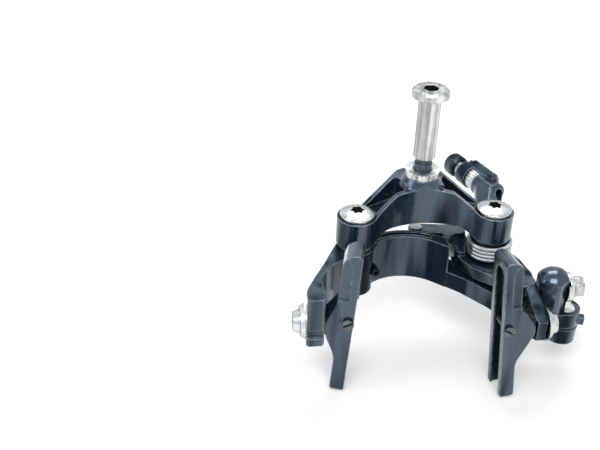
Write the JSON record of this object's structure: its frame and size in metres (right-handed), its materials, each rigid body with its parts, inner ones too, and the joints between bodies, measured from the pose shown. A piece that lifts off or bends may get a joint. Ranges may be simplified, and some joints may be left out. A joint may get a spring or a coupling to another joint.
{
  "type": "caliper brake",
  "caption": "Black dual-pivot road-bicycle caliper brake with empty pad holders, quick release lever, barrel adjuster and a sleeve nut on its mounting bolt.",
  "frame": {"origin": "on the mounting bolt's axis, at the serrated washer's seating face", "axes": "+Z along the mounting bolt towards the bicycle's frame, -Y towards the wheel's hub, +X to the quick release side"},
  "size_m": [0.1157, 0.0934, 0.1004],
  "materials": {
    "gloss_black": "gloss",
    "black_steel": "satin",
    "stainless": "polished",
    "bright_aluminium": "satin",
    "bronze": "satin"
  },
  "bodies": {
    "mounted_frame": {"back_bracket": "gloss_black", "mounting_bolt": "black_steel", "serrated_washer": "stainless", "sleeve_nut": "stainless", "left_pivot_bolt": "stainless", "right_pivot_bolt": "stainless", "left_pivot_axle": "stainless", "right_pivot_axle": "stainless", "left_thrust_washer": "bronze", "right_thrust_washer": "bronze", "return_spring": "stainless"},
    "left_arm": {"c_arm": "gloss_black", "left_bush": "bronze", "centring_screw": "black_steel", "left_pad_holder": "gloss_black", "left_pad_screw": "stainless", "left_shoe_bolt": "stainless", "left_inner_washer": "stainless", "left_outer_washer": "stainless", "qr_bolt": "stainless", "qr_washer": "black_steel"},
    "right_arm": {"y_arm": "gloss_black", "right_bush": "bronze", "roller_pin": "stainless", "right_pad_holder": "gloss_black", "right_pad_screw": "stainless", "right_shoe_bolt": "stainless", "right_inner_washer": "stainless", "right_outer_washer": "stainless"},
    "roller": {"link_roller": "stainless"},
    "release_lever": {"qr_lever": "gloss_black"},
    "cable_anchor": {"anchor_body": "gloss_black", "cable_clamp_plate": "stainless", "cable_clamp_bolt": "stainless"},
    "adjusting_nut": {"adjuster_nut": "bright_aluminium"},
    "adjuster": {"adjuster_barrel": "bright_aluminium", "adjuster_knob": "gloss_black"}
  },
  "joints": [
    {"name": "left_arm_swing", "type": "hinge", "parent": "mounted_frame", "child": "left_arm", "pos_m": [-0.0255, -0.0112, -0.0345], "axis": [0, 0, 1], "range_deg": [0, 12], "stiffness_Nm_per_rad": 0.8, "springref_deg": -17.19},
    {"name": "right_arm_swing", "type": "hinge", "parent": "mounted_frame", "child": "right_arm", "pos_m": [0.0255, -0.0112, -0.03], "axis": [0, 0, 1], "range_deg": [-12, 0]},
    {"name": "roller_turn", "type": "hinge", "parent": "right_arm", "child": "roller", "pos_m": [0, 0.0007, -0.0326], "axis": [0, 0, 1], "continuous": true},
    {"name": "release_lever_turn", "type": "hinge", "parent": "left_arm", "child": "release_lever", "pos_m": [0.051, -0.031, -0.047], "axis": [0, 0, 1], "range_deg": [-80, 0]},
    {"name": "cable_anchor_swivel", "type": "hinge", "parent": "release_lever", "child": "cable_anchor", "pos_m": [0.0443, -0.031, -0.04], "axis": [0, 0, 1], "range_deg": [0, 80]},
    {"name": "adjusting_nut_turn", "type": "hinge", "parent": "right_arm", "child": "adjusting_nut", "pos_m": [0.03001, 0.02525, -0.0205], "axis": [-0.3368, 0.9416, 0], "range_deg": [-1080, 1080]},
    {"name": "adjuster_slide", "type": "slide", "parent": "right_arm", "child": "adjuster", "axis": [-0.3368, 0.9416, 0], "range_m": [-0.003, 0.003]}
  ],
  "couplings": [
    {"joint": "right_arm_swing", "follows": "left_arm_swing", "ratio": -1},
    {"joint": "cable_anchor_swivel", "follows": "release_lever_turn", "ratio": -1},
    {"joint": "adjusting_nut_turn", "follows": "adjuster_slide", "rad_per_m": 6283.2}
  ]
}
